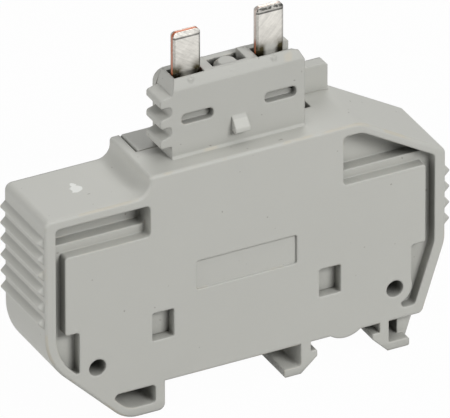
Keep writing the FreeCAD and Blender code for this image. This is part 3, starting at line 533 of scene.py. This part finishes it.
# %% Brushed tin with painted shade
BRUSH_SCALE = (700, 5500, 5500)
BRUSH_RANGE = (0.3, 0.7)
BRUSH_DETAIL = 3.0
BRUSH_ROUGH = 0.6
LEFT_BRUSH = -33
RIGHT_BRUSH = 48
LEFT_BRUSH_LOST = 0.7
RIGHT_BRUSH_BASE = 0.3
RIGHT_BRUSH_GAIN = 0.6
TIN_TONE = 0.96
RIGHT_BLADE_PALE = 0.05
SCRATCH_TONE = 0.2
TIN_CLOUD_TONE = 0.3
CUT_PAINTED_SHADE = 0.35
BEVEL_PAINTED_SHADE = 0.3
BEVEL_STARTS = (0.35, 0.55)
BEVEL_ENDS = (0.97, 0.85)
LEAD_IN_PAINTED_SHADE = 0.16
RIGHT_LEAD_IN_PAINTED_SHADE = 0.32
LEAD_IN_RANGE = (0.05, 0.15)
RIM_PAINTED_SHADE = 0.25
RIM_RANGE = (0.01, 0.06)
RIGHT_BAND = (1.05 * MM, 1.15 * MM)
RIGHT_BAND_PAINTED_SHADE = 0.2

def brushed(blade, turn):
    """Fine scratches that slant by an angle in degrees, from -0.5 to 0.5."""
    lines = blade.noise(1.0, BRUSH_DETAIL, BRUSH_ROUGH, blade.stretch(BRUSH_SCALE, turn))
    return lines.ramp(*BRUSH_RANGE) - 0.5


def scratches_on(blade):
    left_way = brushed(blade, LEFT_BRUSH) * (1.0 - blade.right * LEFT_BRUSH_LOST)
    right_way = brushed(blade, RIGHT_BRUSH) * (blade.right * RIGHT_BRUSH_GAIN + RIGHT_BRUSH_BASE)
    return left_way + right_way


def tin_light(blade, scratches, turn):
    """How much light the tin gives back, with painted shade on cut faces, bevels, lead-in and edges."""
    slant = abs(blade.facing)
    bevel = slant.ramp(*BEVEL_STARTS) * slant.ramp(*BEVEL_ENDS)
    lead_in = (1.0 - blade.cut) * blade.up.ramp(*LEAD_IN_RANGE)
    # Painted shade: cut faces, bevels, lead-in, edges and a band on the right of each face are darkened.
    dark = bevel * BEVEL_PAINTED_SHADE + lead_in * (LEAD_IN_PAINTED_SHADE + blade.right * RIGHT_LEAD_IN_PAINTED_SHADE)
    dark = dark + blade.cut * CUT_PAINTED_SHADE + turn.ramp(*RIM_RANGE) * RIM_PAINTED_SHADE
    dark = dark + blade.offset.ramp(*RIGHT_BAND) * RIGHT_BAND_PAINTED_SHADE
    pale = blade.right * RIGHT_BLADE_PALE + scratches * SCRATCH_TONE + (blade.cloud - 0.5) * TIN_CLOUD_TONE
    return TIN_TONE + pale - dark


print("brushed at", LEFT_BRUSH, "and", RIGHT_BRUSH, "degrees")

# %% [markdown]
# The stamped edges show a line of bare copper, a little in front of the middle of the strip, which tin is
# smeared over on the upper part of the right blade. Flux has darkened the lower corners, dark bands cross
# the tips, and a little plastic from the tongue sticks to each foot. Each function returns a mask. The
# three numbers of a band are its distance below the tip, its half width and its soft rim.

# %% Copper line, flux, dark bands and crumbs
COPPER_Y = -0.68 * MM
COPPER_HALF = 0.14 * MM
COPPER_EASE = 0.05 * MM
BARE = 0.95
SMEAR = 0.75
SMEAR_RANGE = (0.8 * MM, 1.6 * MM)
FLUX_HEIGHT = (1.6 * MM, 0.2 * MM)
FLUX_CORNER = (0.2 * MM, 0.9 * MM, 0.3, 1.0)
FLUX_CLOUD = (0.25, 0.6, 0.5, 1.0)
HAZE_HEIGHT = (3.6 * MM, 0.6 * MM)
HAZE = 0.14
RIGHT_HAZE = 0.1
TIP_BAND_MAIN = (0.55 * MM, 0.05 * MM, 0.06 * MM)
TIP_BAND_MAIN_DEPTH = 0.85
TIP_BAND_UPPER = (0.24 * MM, 0.08 * MM, 0.07 * MM)
TIP_BAND_RIM = (0.02 * MM, 0.03 * MM, 0.06 * MM)
TIP_BAND_RIM_DEPTH = 0.5
TIP_BAND_GAPS_SIZE = 0.45 * MM
TIP_BAND_GAPS = (0.4, 0.5)
CRUMB_WIDTH = (0.8 * MM, 0.3 * MM)
CRUMB_HEIGHT = (1.0 * MM, 0.4 * MM)
CRUMB_WOBBLE = 4
CRUMB_LEFT = 0.2
CRUMB_RIGHT_GAIN = 0.6

def copper_line(blade):
    bare = BARE - blade.right * blade.above.ramp(*SMEAR_RANGE) * SMEAR
    return (blade.depth + blade.wobble).near(COPPER_Y, COPPER_HALF, COPPER_EASE) * blade.cut * bare


def flux_stain(blade):
    corner = abs(blade.offset).ramp(*FLUX_CORNER)
    stain = blade.above.ramp(*FLUX_HEIGHT) * blade.cloud.ramp(*FLUX_CLOUD) * corner
    return stain + blade.above.ramp(*HAZE_HEIGHT) * (blade.right * blade.cloud * RIGHT_HAZE + HAZE)


# Dark bands across the front faces at set distances below the tip.
def tip_dark_bands(blade):
    broken = blade.right * blade.noise(TIP_BAND_GAPS_SIZE).ramp(*TIP_BAND_GAPS)
    bands = blade.below_tip.near(*TIP_BAND_MAIN) * TIP_BAND_MAIN_DEPTH
    bands = bands + blade.below_tip.near(*TIP_BAND_UPPER) * broken
    bands = bands + blade.below_tip.near(*TIP_BAND_RIM) * TIP_BAND_RIM_DEPTH
    return bands * (blade.facing < -CUT_FACE)


def plastic_crumb(blade):
    low = (blade.above + blade.wobble * CRUMB_WOBBLE).ramp(*CRUMB_HEIGHT)
    middle = abs(blade.offset).ramp(*CRUMB_WIDTH)
    return middle * low * (CRUMB_LEFT + blade.right * CRUMB_RIGHT_GAIN) * (1.0 - blade.cut)


print("copper line", 2 * COPPER_HALF, "wide")

# %% [markdown]
# The marks are laid over the tin one by one: dark bands, flux, bare copper and crumbs. The copper is dull
# with tarnish and plastic isn't metal at all, so both lower Metallic where they lie.

# %% Tinned copper
TIN = tint(226, 223, 216)
COPPER = tint(176, 92, 48)
FLUX = tint(74, 68, 50)
TIP_BAND_COLOUR = tint(52, 52, 50)
TIP_BAND_COVER = 0.85
BLADE_EDGE_ROUND = 0.1 * MM
TIN_HEIGHT = 0.02 * MM
TIN_BUMP = 0.3
TIN_ROUGHNESS = 0.24
TIN_CLOUD_ROUGHNESS = 0.2
COPPER_DULL = 0.75

def tinned_copper(name):
    blade = BladeFinish(name)
    scratches = scratches_on(blade)
    soft, turn = blade.edges(BLADE_EDGE_ROUND)
    line = copper_line(blade)
    crumb = plastic_crumb(blade)
    base = blade.shade(TIN, tin_light(blade, scratches, turn))
    base = blade.blend(tip_dark_bands(blade) * TIP_BAND_COVER, base, TIP_BAND_COLOUR)
    base = blade.blend(flux_stain(blade), base, FLUX)
    base = blade.blend(line, base, COPPER)
    base = blade.blend(crumb, base, POLYAMIDE)
    bump = blade.add("ShaderNodeBump", None, {"Strength": TIN_BUMP, "Distance": TIN_HEIGHT,
                                              "Height": scratches + blade.cloud, "Normal": soft})
    blade.surface(Base_Color=base, Metallic=1.0 - line * COPPER_DULL - crumb,
                  Roughness=TIN_ROUGHNESS + blade.cloud * TIN_CLOUD_ROUGHNESS, Normal=bump)
    return blade.material


BLADE_FINISH = tinned_copper("tinned_copper")
dress("left_blade_contact", BLADE_FINISH)
dress("right_blade_contact", BLADE_FINISH)
print("blades dressed")

# %% [markdown]
# Inside are the clips, the rivets and the cartridge fuse. They only show when the cover is off, but
# each has its own metal: rolled bronze, headed brass, nickel-plated caps, dull solder and a drawn wire.
# One function makes them all. Its streaks are a noise whose scale differs along the three axes, so that
# they run along a clip and round a cap. The table holds the colour, roughness and streaks of each metal,
# and the pieces that wear it.

# %% Metals inside
METAL_TONE = 0.85
METAL_CLOUD_SIZE = 0.8 * MM
METAL_CLOUD_TONE = 0.08
METAL_CLOUD_ROUGHNESS = 0.15
STREAK_TONE = 0.15
STREAK_HEIGHT = 0.005 * MM
STREAK_BUMP = 0.2
INSIDE = {
    "clip_bronze": (tint(196, 158, 108), 0.3, (900, 9000, 900), ("left_fuse_clip", "right_fuse_clip")),
    "rivet_brass": (tint(206, 178, 116), 0.25, (4000, 4000, 4000), ("left_clip_rivet", "right_clip_rivet")),
    "fuse_cap_nickel": (tint(214, 210, 202), 0.16, (9000, 700, 700), ("fuse_left_cap", "fuse_right_cap")),
    "solder": (tint(170, 170, 170), 0.45, (3000, 3000, 3000), ("fuse_left_solder", "fuse_right_solder")),
    "fuse_wire": (tint(190, 188, 182), 0.3, (900, 9000, 9000), ("fuse_wire",)),
}

def rolled_metal(name, colour, roughness, streak):
    finish = Finish(name)
    lines = finish.noise(1.0, vector=finish.stretch(streak))
    cloud = finish.noise(METAL_CLOUD_SIZE, 3.0)
    light = METAL_TONE + lines * STREAK_TONE + cloud * METAL_CLOUD_TONE
    bump = finish.add("ShaderNodeBump", None,
                      {"Strength": STREAK_BUMP, "Distance": STREAK_HEIGHT, "Height": lines})
    finish.surface(Base_Color=finish.shade(colour, light), Metallic=1.0,
                   Roughness=roughness + cloud * METAL_CLOUD_ROUGHNESS, Normal=bump)
    return finish.material


for name, (colour, roughness, streak, users) in INSIDE.items():
    metal = rolled_metal(name, colour, roughness, streak)
    for user in users:
        dress(user, metal)
print("metals", len(INSIDE))

# %% [markdown]
# The fuse's tube is drawn glass, clear with a very slight waviness. Full Transmission lets light through
# it, and the IOR bends that light as common glass does, so that the wire shows inside.

# %% Glass
GLASS = (0.93, 0.97, 0.96, 1.0)
GLASS_IOR = 1.47
GLASS_ROUGHNESS = 0.02
WAVE_SIZE = 1.5 * MM
WAVE_HEIGHT = 0.02 * MM
WAVE_BUMP = 0.05

def clear_glass(name):
    finish = Finish(name)
    waves = finish.noise(WAVE_SIZE, 1.0)
    bump = finish.add("ShaderNodeBump", None,
                      {"Strength": WAVE_BUMP, "Distance": WAVE_HEIGHT, "Height": waves})
    finish.surface(Base_Color=GLASS, Roughness=(waves + 1.0) * GLASS_ROUGHNESS, Normal=bump,
                   Transmission_Weight=1.0, IOR=GLASS_IOR)
    return finish.material


dress("fuse_glass_tube", clear_glass("fuse_glass"))
print("glass dressed")

# %% [markdown]
# The flat pins that push a moulding out of its mould leave round marks, raised by a few hundredths of a
# millimetre, on the faces that nobody sees. They repeat, so a small Geometry Nodes tree makes them: it
# puts a low drafted disc on every point it is given, turns each towards the front or the rear, makes
# them real mesh and gives them their finish.

# %% Tree for ejector pin marks
MARK_SIDES = 24
MARK_DRAFT = 0.9

def marks_tree():
    tree = bpy.data.node_groups.new("ejector_marks", "GeometryNodeTree")
    face = tree.interface
    face.new_socket("Points", in_out="INPUT", socket_type="NodeSocketGeometry")
    for name in ("Radius", "Height", "Turn"):
        face.new_socket(name, in_out="INPUT", socket_type="NodeSocketFloat")
    face.new_socket("Finish", in_out="INPUT", socket_type="NodeSocketMaterial")
    face.new_socket("Marks", in_out="OUTPUT", socket_type="NodeSocketGeometry")
    add = tree.nodes.new
    link = tree.links.new
    given = add("NodeGroupInput")
    disc = add("GeometryNodeMeshCone")
    disc.inputs["Vertices"].default_value = MARK_SIDES
    top = add("ShaderNodeMath")
    top.operation = "MULTIPLY"
    top.inputs[1].default_value = MARK_DRAFT
    turn = add("ShaderNodeCombineXYZ")
    place = add("GeometryNodeInstanceOnPoints")
    real = add("GeometryNodeRealizeInstances")
    finish = add("GeometryNodeSetMaterial")
    result = add("NodeGroupOutput")
    link(given.outputs["Radius"], disc.inputs["Radius Bottom"])
    link(given.outputs["Radius"], top.inputs[0])
    link(top.outputs[0], disc.inputs["Radius Top"])
    link(given.outputs["Height"], disc.inputs["Depth"])
    link(given.outputs["Turn"], turn.inputs["X"])
    link(given.outputs["Points"], place.inputs["Points"])
    link(disc.outputs["Mesh"], place.inputs["Instance"])
    link(turn.outputs[0], place.inputs["Rotation"])
    link(place.outputs["Instances"], real.inputs["Geometry"])
    link(real.outputs["Geometry"], finish.inputs["Geometry"])
    link(given.outputs["Finish"], finish.inputs["Material"])
    link(finish.outputs["Geometry"], result.inputs["Marks"])
    return tree


TREE = marks_tree()
print("tree nodes", len(TREE.nodes))

# %% [markdown]
# The tree needs an object to run on, so a helper mesh holds one point for each mark. An input of the
# modifier is set by its socket's identifier. new_from_object then turns the evaluated result into a plain
# mesh, one for each body, and the helper goes. The marks sit on the inner faces of the rear cover and of
# the front wall, sunk a little so that they grow out of them.

# %% Ejector pin marks
MARK_RADIUS = 0.75 * MM
MARK_HEIGHT = 0.05 * MM
MARK_SUNK = 0.02 * MM
COVER_WALL = 1.1 * MM
FRONT_WALL = 1.1 * MM
TOWARDS_FRONT = 90
TOWARDS_REAR = -90
COVER_MARKS = ((-11.5, 8.6), (11.5, 8.6), (0, 6.5), (-15.6, 17.6), (15.6, 16.4), (-5, 8.6), (5, 8.6))
CASE_MARKS = ((-13.2, 8.4), (13.2, 8.4), (0, 6.3), (0, 19.4))

def grow_marks(name, points, turn, node):
    """Run the tree on a few points and keep the result as one plain mesh with a node's finish."""
    seed = bpy.data.meshes.new(name + "_points")
    seed.from_pydata(points, [], [])
    helper = bpy.data.objects.new(name + "_helper", seed)
    bpy.context.scene.collection.objects.link(helper)
    modifier = helper.modifiers.new("marks", "NODES")
    modifier.node_group = TREE
    wanted = {"Radius": MARK_RADIUS, "Height": MARK_HEIGHT + MARK_SUNK, "Turn": math.radians(turn),
              "Finish": NODES[node].data.materials[0]}
    for socket in TREE.interface.items_tree:
        if socket.name in wanted:
            modifier[socket.identifier] = wanted[socket.name]
    evaluated = helper.evaluated_get(bpy.context.evaluated_depsgraph_get())
    piece = bpy.data.objects.new(name, bpy.data.meshes.new_from_object(evaluated))
    bpy.context.scene.collection.objects.link(piece)
    bpy.data.objects.remove(helper)
    print(name, "faces", len(piece.data.polygons))
    return piece


cover_y = CAD_BOX[1][1] - COVER_WALL + MARK_SUNK
front_y = CAD_BOX[0][1] + FRONT_WALL - MARK_SUNK
cover_points = [(x * MM, cover_y, z * MM) for x, z in COVER_MARKS]
case_points = [(x * MM, front_y, z * MM) for x, z in CASE_MARKS]
cover_marks = grow_marks("cover_ejector_marks", cover_points, TOWARDS_FRONT, "rear_cover")
case_marks = grow_marks("case_ejector_marks", case_points, TOWARDS_REAR, "housing")
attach(cover_marks, "cover")
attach(case_marks, "case")
